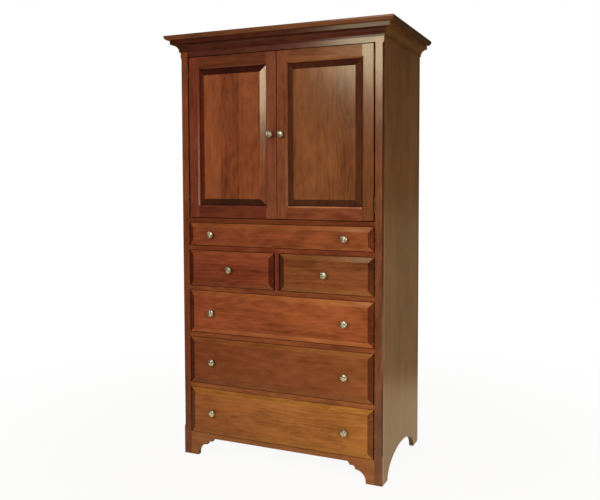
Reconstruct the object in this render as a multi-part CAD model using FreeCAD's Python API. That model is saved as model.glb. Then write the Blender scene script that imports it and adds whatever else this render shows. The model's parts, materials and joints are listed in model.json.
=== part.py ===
"""A cherry-stained armoire: a pair of inset raised-panel doors over six inset drawers.

Millimetres, +Z up, +X to the right of someone facing it. While the pieces are made, Y is the depth
behind the face frame's front. Saving moves them so that the origin lies on the floor, under the middle.
"""
import FreeCAD, Part
import math
import os

# Case
case_width = 965.0
case_depth = 580.0
side_thickness = 20.0
board_thickness = 20.0
back_thickness = 8.0
back_rabbet = 10.0
housing_depth = 6.0

# Face frame
frame_thickness = 22.0
stile_width = 36.0
rail_height = 20.0
rail_depth = 60.0
top_rail_shows = 24.0
muntin_width = 20.0
tenon_thickness = 8.0
tenon_length = 12.0
tenon_shoulder = 3.0
edge_tongue = 6.0
edge_tongue_depth = 8.0

# Openings, from the floor up
apron_clear = 86.0
apron_straight = 21.0
lower_opening = 214.0
middle_opening = 217.0
upper_opening = 196.0
half_opening = 166.0
shallow_opening = 106.0
door_opening = 730.0

# Feet, scalloped apron and side arches
foot_width = 73.5
foot_upright = 8.0
scallop_radius = 47.0
scallop_step = 2.0
scallop_cove = 14.0
scallop_flat = 13.0
scallop_end_cove = 10.0
side_front_foot = 75.0
side_rear_foot = 80.0
arch_rise = 96.0

# Stopped chamfer on the outer corners
corner_chamfer = 6.0
chamfer_bottom = 127.0
chamfer_top_drop = 92.0
chamfer_runout = 9.0

# Crown
crown_height = 50.0
crown_foot_out = 5.0
crown_foot_height = 4.0
cove_radius = 28.0
crown_fillet_out = 34.5
cap_thickness = 20.0
crown_overhang = 55.0
cap_nose_radius = 15.0
cap_top_ease = 2.0

# Doors
door_thickness = 22.0
door_stile = 50.0
door_top_rail = 55.0
door_bottom_rail = 57.0
door_edge_gap = 2.5
door_meeting_gap = 3.0
hinge_gap = 7.0
door_ease = 1.5
sticking = 6.0
panel_groove_depth = 10.0
panel_groove_front = 11.0
panel_groove_width = 6.0
panel_slack = 1.0
panel_bevel = 28.0
panel_setback = 1.0
panel_step = 1.0
door_tenon_length = 30.0
door_tenon_shoulder = 10.0

# Hinges
hinge_length = 64.0
hinge_inset = 66.0
hinge_leaf = 1.2
hinge_leaf_width = 20.0
knuckle_clearance = 0.6
knuckle_count = 5
knuckle_play = 0.3
pin_radius = 1.5
pin_clearance = 0.06
pin_proud = 1.2
leaf_relief = 0.7
leaf_screws = 3
leaf_screw_pitch = 21.0

# Drawers
front_thickness = 22.0
front_side_gap = 5.0
front_end_gap = 2.5
front_bevel = 22.0
front_proud = 9.0
front_step = 2.0
drawer_rear_room = 67.0
drawer_side = 12.0
drawer_back_inset = 8.0
drawer_top_room = 8.0
seat_clearance = 0.3
bottom_thickness = 6.0
bottom_groove = 6.0
bottom_rise = 8.0
tail_length = 8.0
tail_pitch = 42.0
tail_share = 0.5
tail_slope = math.radians(10.0)
full_knob_offset = 320.0

# Web frames that carry the drawers
runner_width = 50.0
web_back_width = 40.0
guide_height = 35.0
guide_clearance = 1.0
stop_width = 30.0
stop_height = 5.0
stop_length = 18.0
stop_clearance = 0.3
stop_offset = 150.0
web_tenon_length = 10.0
web_tenon_width = 20.0

# Knobs
knob_diameter = 31.0
knob_out = 26.0
knob_dome_rise = 4.5
knob_rim_height = 3.0
knob_rim_bulge = 1.0
knob_rib_radius = 2.4
knob_rib_proud = 1.4
knob_rib_inset = 0.5
knob_base_radius = 8.0
knob_base_height = 1.5
knob_neck_radius = 5.0
knob_screw_radius = 2.0
knob_screw_bite = 9.0
knob_screw_head_radius = 4.0
knob_screw_head = 2.5
screw_clearance = 0.2
door_knob_rise = 367.0

# Wood screws, catches and the cable port
wood_screw_radius = 1.2
wood_screw_head_radius = 2.2
wood_screw_head = 1.0
wood_screw_length = 14.0
wood_screw_clearance = 0.05
catch_width = 40.0
catch_depth = 18.0
catch_drop = 24.0
catch_lap = 22.0
catch_offset = 75.0
strike_thickness = 1.2
strike_clearance = 0.3
strike_height = 18.0
strike_drop = 3.0
cable_port_radius = 30.0
cable_port_rise = 100.0

# Levels worked out from the driving sizes
half_width = case_width / 2
inner_half = half_width - side_thickness
opening_half = half_width - stile_width
opening_bottoms = {}
opening_tops = {}
level = apron_clear + apron_straight
for name, height in (
    ("lower", lower_opening),
    ("middle", middle_opening),
    ("upper", upper_opening),
    ("half", half_opening),
    ("shallow", shallow_opening),
    ("door", door_opening),
):
    opening_bottoms[name] = level
    opening_tops[name] = level + height
    level = level + height + rail_height
frame_top = opening_tops["door"] + top_rail_shows + crown_height
overall_height = frame_top + cap_thickness
back_front = case_depth - back_thickness
web_back_front = back_front - web_back_width
drawer_depth = back_front - drawer_rear_room
knuckle_radius = hinge_gap / 2 - knuckle_clearance
housing_half = inner_half + housing_depth
guide_proud = front_side_gap - guide_clearance
middle_of_depth = (case_depth - crown_overhang) / 2

nodes = {}


def vec(x, y, z):
    return FreeCAD.Vector(x, y, z)


def block(x0, x1, y0, y1, z0, z1):
    return Part.makeBox(x1 - x0, y1 - y0, z1 - z0, vec(x0, y0, z0))


def mirrored(shape):
    return shape.mirror(vec(0, 0, 0), vec(1, 0, 0))


def rectangle(x0, x1, z0, z1, y):
    corners = [vec(x0, y, z0), vec(x1, y, z0), vec(x1, y, z1), vec(x0, y, z1), vec(x0, y, z0)]
    return Part.makePolygon(corners)


def frustum(outer, inner, y_outer, y_inner):
    """Solid between two upright rectangles (x0, x1, z0, z1) at two depths."""
    return Part.makeLoft([rectangle(*outer, y_outer), rectangle(*inner, y_inner)], True, True)


def inset(outline, sides, ends):
    x0, x1, z0, z1 = outline
    return (x0 + sides, x1 - sides, z0 + ends, z1 - ends)


def grown(outline, amount):
    return inset(outline, -amount, -amount)


def upright_block(outline, y0, y1):
    x0, x1, z0, z1 = outline
    return block(x0, x1, y0, y1, z0, z1)


def raised_board(outline, y_field, y_edge, y_back, bevel, step):
    """A board whose front rises by a bevel and a small step to a flat field."""
    field = grown(outline, -bevel)
    board = upright_block(outline, y_edge, y_back)
    board = board.fuse(frustum(outline, field, y_edge, y_field + step))
    if step > 0:
        board = board.fuse(upright_block(field, y_field, y_field + step))
    return board.removeSplitter()


def prism(edges, axis, start, end):
    """Extrude a closed outline drawn as (u, v): along x it is (y, z), along y it is (x, z)."""
    face = Part.Face(Part.Wire(edges))
    if axis == "x":
        face.Placement = FreeCAD.Placement(vec(start, 0, 0), FreeCAD.Rotation(vec(1, 1, 1), 120))
        return face.extrude(vec(end - start, 0, 0))
    face.Placement = FreeCAD.Placement(vec(0, start, 0), FreeCAD.Rotation(vec(1, 0, 0), 90))
    return face.extrude(vec(0, end - start, 0))


def outline_edges(points):
    """Edges through points; a point given as (mid, end) is reached by a round arc through mid."""
    edges = []
    here = points[0]
    for step in points[1:]:
        if isinstance(step[0], tuple):
            mid, end = step
            edges.append(Part.Arc(vec(*here, 0), vec(*mid, 0), vec(*end, 0)).toShape())
        else:
            end = step
            edges.append(Part.LineSegment(vec(*here, 0), vec(*end, 0)).toShape())
        here = end
    edges.append(Part.LineSegment(vec(*here, 0), vec(*points[0], 0)).toShape())
    return edges


def arc_middle(centre, radius, degrees):
    angle = math.radians(degrees)
    return (centre[0] + radius * math.cos(angle), centre[1] + radius * math.sin(angle))


def cylinder(radius, start, end):
    """Round bar between two points."""
    along = end.sub(start)
    return Part.makeCylinder(radius, along.Length, start, along)


def cone(radius_start, radius_end, start, end):
    along = end.sub(start)
    return Part.makeCone(radius_start, radius_end, along.Length, start, along)


def wood_screw(head_face, direction, grow=0.0):
    """Countersunk screw whose flat head lies at head_face, driven along direction."""
    neck = head_face + direction * wood_screw_head
    tip = head_face + direction * wood_screw_length
    head = cone(wood_screw_head_radius + grow, wood_screw_radius + grow, head_face, neck)
    return head.fuse(cylinder(wood_screw_radius + grow, neck, tip)).removeSplitter()


def frame_tenon(z0, z1, y_front):
    """Tenons at both ends of a rail that fits between the stiles."""
    reach = opening_half + tenon_length
    bar = block(-reach, reach, y_front, y_front + tenon_thickness, z0 + tenon_shoulder, z1 - tenon_shoulder)
    gap = block(-opening_half, opening_half, y_front, y_front + tenon_thickness, z0, z1)
    return bar.cut(gap).Solids


# Face frame
tenon_front = (frame_thickness - tenon_thickness) / 2
drawer_levels = ["shallow", "half", "upper", "middle", "lower"]
rail_levels = {
    "door_rail": opening_bottoms["door"],
    "drawer_rail_1": opening_bottoms["shallow"],
    "drawer_rail_2": opening_bottoms["half"],
    "drawer_rail_3": opening_bottoms["upper"],
    "drawer_rail_4": opening_bottoms["middle"],
}
stile_mortises = []


def add_frame_rails():
    for name, top in rail_levels.items():
        bottom = top - rail_height
        tenons = frame_tenon(bottom, top, tenon_front)
        stile_mortises.extend(tenons)
        rail = block(-opening_half, opening_half, 0, rail_depth, bottom, top)
        nodes[name] = rail.multiFuse(tenons).removeSplitter()
    bottom = opening_tops["door"]
    tenons = frame_tenon(bottom, frame_top, tenon_front)
    stile_mortises.extend(tenons)
    rail = block(-opening_half, opening_half, 0, frame_thickness, bottom, frame_top)
    nodes["top_rail"] = rail.multiFuse(tenons).removeSplitter()


def scallop_half():
    """Right half of the apron's lower outline, from the middle to the foot."""
    foot = half_width - foot_width
    big_end = (foot - scallop_radius, foot_upright + scallop_radius)
    small_start = (big_end[0], big_end[1] + scallop_step)
    small_centre = (small_start[0] - scallop_cove, small_start[1])
    flat_start = (small_centre[0], small_centre[1] + scallop_cove)
    flat_end = (flat_start[0] - scallop_flat, flat_start[1])
    last_rise = apron_clear - flat_end[1]
    last_centre = (flat_end[0] - scallop_end_cove, flat_end[1])
    last_middle = (
        last_centre[0] + scallop_end_cove * math.cos(math.radians(45)),
        last_centre[1] + last_rise * math.sin(math.radians(45)),
    )
    big_centre = (big_end[0], foot_upright)
    return [
        (last_centre[0], apron_clear),
        (last_middle, flat_end),
        flat_start,
        (arc_middle(small_centre, scallop_cove, 45), small_start),
        big_end,
        (arc_middle(big_centre, scallop_radius, 45), (foot, foot_upright)),
        (foot, 0.0),
    ]


def add_apron():
    top = opening_bottoms["lower"]
    tenons = frame_tenon(0, top, tenon_front)
    stile_mortises.extend(tenons)
    right = scallop_half()
    profile = [(0.0, top), (0.0, apron_clear)] + right + [(opening_half, 0.0), (opening_half, top)]
    half = prism(outline_edges(profile), "y", 0, frame_thickness)
    nodes["apron"] = half.fuse(mirrored(half)).multiFuse(tenons).removeSplitter()


def add_muntin():
    bottom = opening_bottoms["half"]
    top = opening_tops["half"]
    half = muntin_width / 2
    tenon = block(
        -half + tenon_shoulder, half - tenon_shoulder,
        tenon_front, tenon_front + tenon_thickness,
        bottom - tenon_length, top + tenon_length,
    )
    body = block(-half, half, 0, frame_thickness, bottom, top)
    nodes["centre_muntin"] = body.fuse(tenon).removeSplitter()
    for rail in ("drawer_rail_1", "drawer_rail_2"):
        nodes[rail] = nodes[rail].cut(tenon)


def stopped_chamfer():
    """Cutter for the right outer corner: a long chamfer that runs out to a point at both ends."""
    low = chamfer_bottom
    high = frame_top + cap_thickness - chamfer_top_drop
    x = half_width
    back = corner_chamfer
    tips = [vec(x, 0, low), vec(x, 0, high)]
    front = [vec(x - back, 0, low + chamfer_runout), vec(x - back, 0, high - chamfer_runout)]
    side = [vec(x, back, low + chamfer_runout), vec(x, back, high - chamfer_runout)]
    loops = [
        [front[0], front[1], side[1], side[0]],
        [tips[0], front[0], side[0]],
        [tips[1], side[1], front[1]],
        [tips[0], tips[1], front[1], front[0]],
        [tips[0], side[0], side[1], tips[1]],
    ]
    faces = [Part.Face(Part.makePolygon(loop + loop[:1])) for loop in loops]
    cutter = Part.Solid(Part.Shell(faces))
    if cutter.Volume < 0:
        cutter.reverse()
    return cutter


tongue_x0 = half_width - side_thickness / 2 - edge_tongue / 2
tongue_x1 = tongue_x0 + edge_tongue


def side_tongue():
    return block(tongue_x0, tongue_x1, frame_thickness - edge_tongue_depth, frame_thickness, 0, frame_top)


def add_stiles():
    stile = block(opening_half, half_width, 0, frame_thickness, 0, frame_top)
    right = stile.cut([side_tongue(), stopped_chamfer()] + stile_mortises)
    nodes["front_stile_right"] = right
    nodes["front_stile_left"] = mirrored(right)


# Sides, back and boards of the case
def side_arch():
    """Cutter for the arch between the side's two feet: half an ellipse."""
    arch_run = (case_depth - side_front_foot - side_rear_foot) / 2
    ellipse = Part.Ellipse(vec(side_front_foot + arch_run, 0, 0), arch_run, arch_rise)
    return prism([ellipse.toShape()], "x", inner_half - 1, half_width + 1)


def housing(bottom, top, front):
    return block(inner_half, housing_half, front, back_front, bottom, top)


def add_sides():
    side = block(inner_half, half_width, frame_thickness, case_depth, 0, frame_top)
    side = side.fuse(side_tongue())
    cutters = [side_arch()]
    for name in drawer_levels:
        top = opening_bottoms[name]
        front = frame_thickness if name == "lower" else rail_depth
        cutters.append(housing(top - rail_height, top, front))
    shelf_top = opening_bottoms["door"]
    cutters.append(housing(shelf_top - board_thickness, shelf_top, rail_depth))
    cutters.append(housing(frame_top - board_thickness, frame_top, frame_thickness))
    back_bottom = opening_bottoms["lower"] - rail_height
    rabbet_end = inner_half + back_rabbet
    cutters.append(block(inner_half, rabbet_end, back_front, case_depth, back_bottom, frame_top))
    side = side.cut(cutters).removeSplitter()
    nodes["side_panel_right"] = side
    nodes["side_panel_left"] = mirrored(side)


def add_boards():
    top = opening_bottoms["door"]
    middle = top - board_thickness / 2
    tongue = block(
        -opening_half + tenon_shoulder, opening_half - tenon_shoulder,
        rail_depth - edge_tongue_depth, rail_depth,
        middle - edge_tongue / 2, middle + edge_tongue / 2,
    )
    shelf = block(-housing_half, housing_half, rail_depth, back_front, top - board_thickness, top)
    nodes["tv_shelf"] = shelf.fuse(tongue).removeSplitter()
    nodes["door_rail"] = nodes["door_rail"].cut(tongue)
    nodes["case_top"] = block(
        -housing_half, housing_half, frame_thickness, back_front, frame_top - board_thickness, frame_top
    )


def add_back():
    half = inner_half + back_rabbet
    bottom = opening_bottoms["lower"] - rail_height
    panel = block(-half, half, back_front, case_depth, bottom, frame_top)
    port_z = opening_bottoms["door"] + cable_port_rise
    port = cylinder(cable_port_radius, vec(0, back_front - 1, port_z), vec(0, case_depth + 1, port_z))
    nodes["back_panel"] = panel.cut(port)


# Crown
def crown_profile():
    """Moulding section as (distance out from the case, height)."""
    bottom = frame_top - crown_height
    cove_start = (crown_foot_out, bottom + crown_foot_height)
    cove_centre = (crown_foot_out + cove_radius, cove_start[1])
    cove_end = (cove_centre[0], cove_centre[1] + cove_radius)
    return [
        (0.0, frame_top),
        (0.0, bottom),
        (crown_foot_out, bottom),
        cove_start,
        (arc_middle(cove_centre, cove_radius, 135), cove_end),
        (crown_fillet_out, cove_end[1]),
        (crown_fillet_out, frame_top),
    ]


def mitre_plan(corners):
    """Upright prism over a plan outline, as tall as the moulding."""
    bottom = frame_top - crown_height
    points = [vec(x, y, bottom) for x, y in corners]
    return Part.Face(Part.makePolygon(points + points[:1])).extrude(vec(0, 0, crown_height))


def add_crown():
    reach = half_width + crown_overhang
    section = Part.Wire(outline_edges(crown_profile()))
    front = Part.Face(section)
    front.Placement = FreeCAD.Placement(vec(-reach, 0, 0), FreeCAD.Rotation(vec(1, 1, 1), 120))
    front = front.extrude(vec(2 * reach, 0, 0)).mirror(vec(0, 0, 0), vec(0, 1, 0))
    plan = [
        (-reach, -crown_overhang), (reach, -crown_overhang), (half_width, 0.0), (-half_width, 0.0),
    ]
    nodes["crown_front"] = front.common(mitre_plan(plan))
    right = Part.Face(section)
    start = vec(half_width, -crown_overhang, 0)
    right.Placement = FreeCAD.Placement(start, FreeCAD.Rotation(vec(1, 0, 0), 90))
    right = right.extrude(vec(0, case_depth + crown_overhang, 0))
    plan = [
        (half_width, 0.0), (reach, -crown_overhang), (reach, case_depth), (half_width, case_depth),
    ]
    nodes["crown_right"] = right.common(mitre_plan(plan))
    nodes["crown_left"] = mirrored(nodes["crown_right"])


def nose_profile():
    """What is taken off the cap's edge, as (distance out, height): the round nose and the eased top."""
    out = crown_overhang
    low = frame_top
    high = overall_height
    centre = (out - cap_nose_radius, low + cap_nose_radius)
    under = [
        (out - cap_nose_radius, low),
        (arc_middle(centre, cap_nose_radius, -45), (out, low + cap_nose_radius)),
        (out + 1, low + cap_nose_radius),
        (out + 1, low - 1),
        (out - cap_nose_radius, low - 1),
    ]
    ease_centre = (out - cap_top_ease, high - cap_top_ease)
    over = [
        (out, high - cap_top_ease),
        (arc_middle(ease_centre, cap_top_ease, 45), (out - cap_top_ease, high)),
        (out - cap_top_ease, high + 1),
        (out + 1, high + 1),
        (out + 1, high - cap_top_ease),
    ]
    return [under, over]


def add_cap():
    reach = half_width + crown_overhang
    cap = block(-reach, reach, -crown_overhang, case_depth, frame_top, overall_height)
    cutters = []
    for profile in nose_profile():
        face = Part.Face(Part.Wire(outline_edges(profile)))
        front = face.copy()
        front.Placement = FreeCAD.Placement(vec(-reach - 1, 0, 0), FreeCAD.Rotation(vec(1, 1, 1), 120))
        front = front.extrude(vec(2 * reach + 2, 0, 0)).mirror(vec(0, 0, 0), vec(0, 1, 0))
        side = face.copy()
        start = vec(half_width, -crown_overhang - 1, 0)
        side.Placement = FreeCAD.Placement(start, FreeCAD.Rotation(vec(1, 0, 0), 90))
        side = side.extrude(vec(0, case_depth + crown_overhang + 2, 0))
        cutters.extend([front, side, mirrored(side)])
    nodes["crown_cap"] = cap.cut(cutters)


# Web frames: runners, rear rail, guides and stops under each drawer
def web_tenon(x_middle, y0, z_middle):
    return block(
        x_middle - web_tenon_width / 2, x_middle + web_tenon_width / 2,
        y0, y0 + web_tenon_length,
        z_middle - tenon_thickness / 2, z_middle + tenon_thickness / 2,
    )


def add_web_frames():
    fronts = ["drawer_rail_1", "drawer_rail_2", "drawer_rail_3", "drawer_rail_4", "apron"]
    for number, (name, front) in enumerate(zip(drawer_levels, fronts), start=1):
        top = opening_bottoms[name]
        bottom = top - rail_height
        middle = top - rail_height / 2
        start = frame_thickness if front == "apron" else rail_depth
        runner_inside = inner_half - runner_width
        spans = [(runner_inside, housing_half), (-housing_half, -runner_inside)]
        tenon_middle = opening_half - tenon_shoulder - web_tenon_width / 2
        tenon_middles = [tenon_middle, -tenon_middle]
        guide_spans = [(opening_half - guide_proud, inner_half), (-inner_half, -opening_half + guide_proud)]
        if name == "half":
            spans.append((-runner_width / 2, runner_width / 2))
            tenon_middles.append(0.0)
            half = muntin_width / 2 + guide_proud
            guide_spans.append((-half, half))
        rear = block(-housing_half, housing_half, web_back_front, back_front, bottom, top)
        pieces = []
        for (x0, x1), x_middle in zip(spans, tenon_middles):
            front_tenon = web_tenon(x_middle, start - web_tenon_length, middle)
            rear_tenon = web_tenon(x_middle, web_back_front, middle)
            runner = block(x0, x1, start, web_back_front, bottom, top)
            pieces.append(runner.multiFuse([front_tenon, rear_tenon]).removeSplitter())
            rear = rear.cut(rear_tenon)
            nodes[front] = nodes[front].cut(front_tenon)
        pieces.append(rear)
        for x0, x1 in guide_spans:
            pieces.append(block(x0, x1, rail_depth, web_back_front, top, top + guide_height))
        stop_front = front_thickness + stop_clearance
        stop_end = stop_front + stop_length
        for side in (-1, 1):
            x0 = side * stop_offset - stop_width / 2
            pieces.append(block(x0, x0 + stop_width, stop_front, stop_end, top, top + stop_height))
        if front == "apron":
            pieces.append(block(-runner_inside, runner_inside, start, rail_depth, bottom, top))
        nodes["web_frame_%d" % number] = Part.makeCompound(pieces)


# Knobs
def knob_with_screw(x, z, turn, face, screw_head_face):
    """Round knob with a rib across its domed face, turned by some degrees, and its screw from behind."""
    rim_radius = knob_diameter / 2
    edge_radius = rim_radius - knob_rim_bulge
    rim_front = knob_out - knob_dome_rise
    rim_back = rim_front - knob_rim_height
    rim_middle = (rim_front + rim_back) / 2
    flare = edge_radius - knob_neck_radius
    neck_out = rim_back - flare
    slant = math.sqrt(0.5)
    neck_middle = (
        knob_neck_radius + (knob_base_radius - knob_neck_radius) * (1 - slant),
        -knob_base_height - (neck_out - knob_base_height) * (1 - slant),
    )
    flare_middle = (edge_radius - flare * slant, -neck_out - flare * slant)
    dome_radius = (edge_radius ** 2 + knob_dome_rise ** 2) / (2 * knob_dome_rise)
    half_angle = math.asin(edge_radius / dome_radius) / 2
    dome_middle = (dome_radius * math.sin(half_angle), dome_radius * (1 - math.cos(half_angle)) - knob_out)
    profile = [
        (0.0, 0.0), (knob_base_radius, 0.0), (knob_base_radius, -knob_base_height),
        (neck_middle, (knob_neck_radius, -neck_out)),
        (flare_middle, (edge_radius, -rim_back)),
        ((rim_radius, -rim_middle), (edge_radius, -rim_front)),
        (dome_middle, (0.0, -knob_out)),
    ]
    body = Part.Face(Part.Wire(outline_edges(profile))).revolve(vec(0, 0, 0), vec(0, 1, 0), 360)
    # The rib is a round bar bent to the dome and trimmed to the knob's outline
    dome_centre = vec(0, dome_radius - knob_out, 0)
    spine_radius = dome_radius + knob_rib_proud - knob_rib_radius
    sweep = math.degrees(math.asin(edge_radius / spine_radius))
    section_edge = Part.makeCircle(knob_rib_radius, dome_centre.sub(vec(0, spine_radius, 0)), vec(1, 0, 0))
    section = Part.Face(Part.Wire(section_edge))
    section.rotate(dome_centre, vec(0, 0, 1), -sweep)
    bar = section.revolve(dome_centre, vec(0, 0, 1), 2 * sweep)
    rib_front = knob_out + knob_rib_proud + 1
    outline = cylinder(edge_radius - knob_rib_inset, vec(0, -rim_middle, 0), vec(0, -rib_front, 0))
    rib = bar.common(outline)
    rib.rotate(vec(0, 0, 0), vec(0, 1, 0), -turn)
    hole = cylinder(knob_screw_radius + screw_clearance / 2, vec(0, 0, 0), vec(0, -knob_screw_bite - 1, 0))
    knob = body.fuse(rib).cut(hole)
    knob.translate(vec(x, face, z))
    head_start = vec(x, screw_head_face, z)
    head = cylinder(knob_screw_head_radius, head_start, vec(x, screw_head_face + knob_screw_head, z))
    shank = cylinder(knob_screw_radius, head_start, vec(x, face - knob_screw_bite, z))
    return [knob, head.fuse(shank).removeSplitter()]


def knob_hole(x, z, front, back):
    radius = knob_screw_radius + screw_clearance / 2
    return cylinder(radius, vec(x, front - 1, z), vec(x, back + 1, z))


# Doors
door_bottom = opening_bottoms["door"] + door_edge_gap
door_top = opening_tops["door"] - door_edge_gap
door_inner = door_meeting_gap / 2
door_outer = opening_half - hinge_gap
hinge_middles = [door_bottom + hinge_inset, door_top - hinge_inset]
pin_x = opening_half - hinge_gap / 2
leaf_front = knuckle_radius + leaf_relief - pin_proud
frame_leaf_x = (opening_half - hinge_leaf, opening_half)
door_leaf_x = (door_outer, door_outer + hinge_leaf)


def leaf_screw_places(z_middle):
    y = (leaf_front + hinge_leaf_width) / 2
    return [(y, z_middle + (i - (leaf_screws - 1) / 2) * leaf_screw_pitch) for i in range(leaf_screws)]


def hinge_leaf_solid(span, z_middle, knuckles, screws):
    x0, x1 = span
    bottom = z_middle - hinge_length / 2
    pitch = hinge_length / knuckle_count
    leaf = block(x0, x1, leaf_front, hinge_leaf_width, bottom, bottom + hinge_length)
    for i in knuckles:
        z0 = bottom + i * pitch + knuckle_play / 2
        z1 = bottom + (i + 1) * pitch - knuckle_play / 2
        leaf = leaf.fuse(block(x0, x1, -pin_proud, leaf_front, z0, z1))
        leaf = leaf.fuse(cylinder(knuckle_radius, vec(pin_x, -pin_proud, z0), vec(pin_x, -pin_proud, z1)))
    bore = cylinder(
        pin_radius + pin_clearance,
        vec(pin_x, -pin_proud, bottom - 1),
        vec(pin_x, -pin_proud, bottom + hinge_length + 1),
    )
    return leaf.removeSplitter().cut([bore] + screws)


def hinge_pin(z_middle):
    reach = hinge_length / 2 + knuckle_radius
    low = vec(pin_x, -pin_proud, z_middle - reach)
    high = vec(pin_x, -pin_proud, z_middle + reach)
    pin = cylinder(pin_radius, low, high)
    for end in (low, high):
        pin = pin.fuse(Part.makeSphere(knuckle_radius - knuckle_play / 2, end))
    return pin.removeSplitter()


def screws_for_leaf(face_x, direction, z_middle, grow):
    places = leaf_screw_places(z_middle)
    return [wood_screw(vec(face_x, y, z), vec(direction, 0, 0), grow) for y, z in places]


case_screws = []


def add_frame_hinges():
    leaves = []
    pins = []
    for z_middle in hinge_middles:
        face_x = frame_leaf_x[0]
        loose = screws_for_leaf(face_x, 1, z_middle, wood_screw_clearance)
        leaf = hinge_leaf_solid(frame_leaf_x, z_middle, range(0, knuckle_count, 2), loose)
        screws = screws_for_leaf(face_x, 1, z_middle, 0.0)
        pin = hinge_pin(z_middle)
        leaves.extend([leaf, mirrored(leaf)])
        pins.extend([pin, mirrored(pin)])
        case_screws.extend(screws + [mirrored(screw) for screw in screws])
        nodes["front_stile_right"] = nodes["front_stile_right"].cut(loose)
    nodes["front_stile_left"] = mirrored(nodes["front_stile_right"])
    nodes["hinge_frame_leaves"] = Part.makeCompound(leaves)
    nodes["hinge_pins"] = Part.makeCompound(pins)


def add_back_screws():
    """Screws through the back panel's edges into the sides, beside each drawer and the doors."""
    x = inner_half + back_rabbet / 2
    heights = [(opening_bottoms[n] + opening_tops[n]) / 2 for n in drawer_levels]
    heights += [opening_bottoms["door"] + door_opening * share for share in (0.2, 0.5, 0.8)]
    loose = []
    for z in heights:
        for side in (-1, 1):
            place = vec(side * x, case_depth, z)
            case_screws.append(wood_screw(place, vec(0, -1, 0)))
            loose.append(wood_screw(place, vec(0, -1, 0), wood_screw_clearance))
    for node in ("back_panel", "side_panel_left", "side_panel_right"):
        nodes[node] = nodes[node].cut(loose)
    nodes["case_screws"] = Part.makeCompound(case_screws)


def strike_span():
    return (catch_offset - catch_width / 2, catch_offset + catch_width / 2)


def add_catches():
    """Magnetic catches behind the top rail, hanging down behind the doors' top edges."""
    x0, x1 = strike_span()
    rail_bottom = opening_tops["door"]
    magnet_front = door_thickness + strike_thickness + strike_clearance
    rear = frame_thickness + catch_depth
    upper = block(x0, x1, frame_thickness, rear, rail_bottom, rail_bottom + catch_lap)
    lower = block(x0, x1, magnet_front, rear, rail_bottom - catch_drop, rail_bottom)
    catch = upper.fuse(lower).removeSplitter()
    nodes["door_catches"] = Part.makeCompound([catch, mirrored(catch)])


def door_pieces():
    """Frame, panel and hardware of the right door, without its knob."""
    outline = (door_inner, door_outer, door_bottom, door_top)
    envelope = raised_board(outline, 0, door_ease, door_thickness, door_ease, 0)
    inside = (
        door_inner + door_stile, door_outer - door_stile,
        door_bottom + door_bottom_rail, door_top - door_top_rail,
    )
    groove_back = panel_groove_front + panel_groove_width
    groove = upright_block(grown(inside, panel_groove_depth), panel_groove_front, groove_back)
    sticking_cut = frustum(inside, grown(inside, sticking), sticking, 0)
    x0, x1, z0, z1 = inside
    tenons = {}
    spans = {"bottom_rail": (door_bottom, z0), "top_rail": (z1, door_top)}
    for name, (low, high) in spans.items():
        tenons[name] = block(
            x0 - door_tenon_length, x1 + door_tenon_length,
            panel_groove_front, groove_back,
            low + door_tenon_shoulder, high - door_tenon_shoulder,
        )
    pieces = {}
    mortises = list(tenons.values())
    stiles = {"meeting_stile": (door_inner, x0), "hinge_stile": (x1, door_outer)}
    for name, (left, right) in stiles.items():
        stile = block(left, right, 0, door_thickness, door_bottom, door_top)
        pieces[name] = stile.common(envelope).cut([groove, sticking_cut] + mortises)
    for name, (low, high) in spans.items():
        rail = block(x0, x1, 0, door_thickness, low, high)
        rail = rail.common(envelope).cut([groove, sticking_cut])
        pieces[name] = rail.fuse(tenons[name].cut(groove)).removeSplitter()
    tongue = upright_block(grown(inside, panel_groove_depth - panel_slack), panel_groove_front, groove_back)
    field = raised_board(inside, panel_setback, panel_groove_front, groove_back, panel_bevel, panel_step)
    pieces["panel"] = field.fuse(tongue).removeSplitter()
    hardware = []
    for z_middle in hinge_middles:
        face_x = door_leaf_x[1]
        loose = screws_for_leaf(face_x, -1, z_middle, wood_screw_clearance)
        hardware.append(hinge_leaf_solid(door_leaf_x, z_middle, range(1, knuckle_count, 2), loose))
        hardware.extend(screws_for_leaf(face_x, -1, z_middle, 0.0))
        pieces["hinge_stile"] = pieces["hinge_stile"].cut(loose)
    left, right = strike_span()
    strike_top = door_top - strike_drop
    strike = block(
        left, right, door_thickness, door_thickness + strike_thickness, strike_top - strike_height, strike_top
    )
    pieces["hardware"] = Part.makeCompound(hardware + [strike])
    return pieces


knob_turns = {
    "left_door": [20.0],
    "right_door": [149.0],
    "shallow_drawer": [93.0, 89.0],
    "left_half_drawer": [52.0],
    "right_half_drawer": [2.0],
    "upper_deep_drawer": [103.0, 133.0],
    "middle_deep_drawer": [88.0, 167.0],
    "lower_deep_drawer": [100.0, 72.0],
}


def add_doors():
    knob_x = door_inner + door_stile / 2
    knob_z = door_bottom + door_knob_rise
    pieces = door_pieces()
    pieces["meeting_stile"] = pieces["meeting_stile"].cut(knob_hole(knob_x, knob_z, 0, door_thickness))
    for piece, shape in pieces.items():
        nodes["right_door_" + piece] = shape
        nodes["left_door_" + piece] = mirrored(shape)
    for door, side in (("left_door", -1), ("right_door", 1)):
        turn = knob_turns[door][0]
        knob = knob_with_screw(side * knob_x, knob_z, turn, 0, door_thickness)
        nodes[door + "_knob"] = Part.makeCompound(knob)


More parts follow.
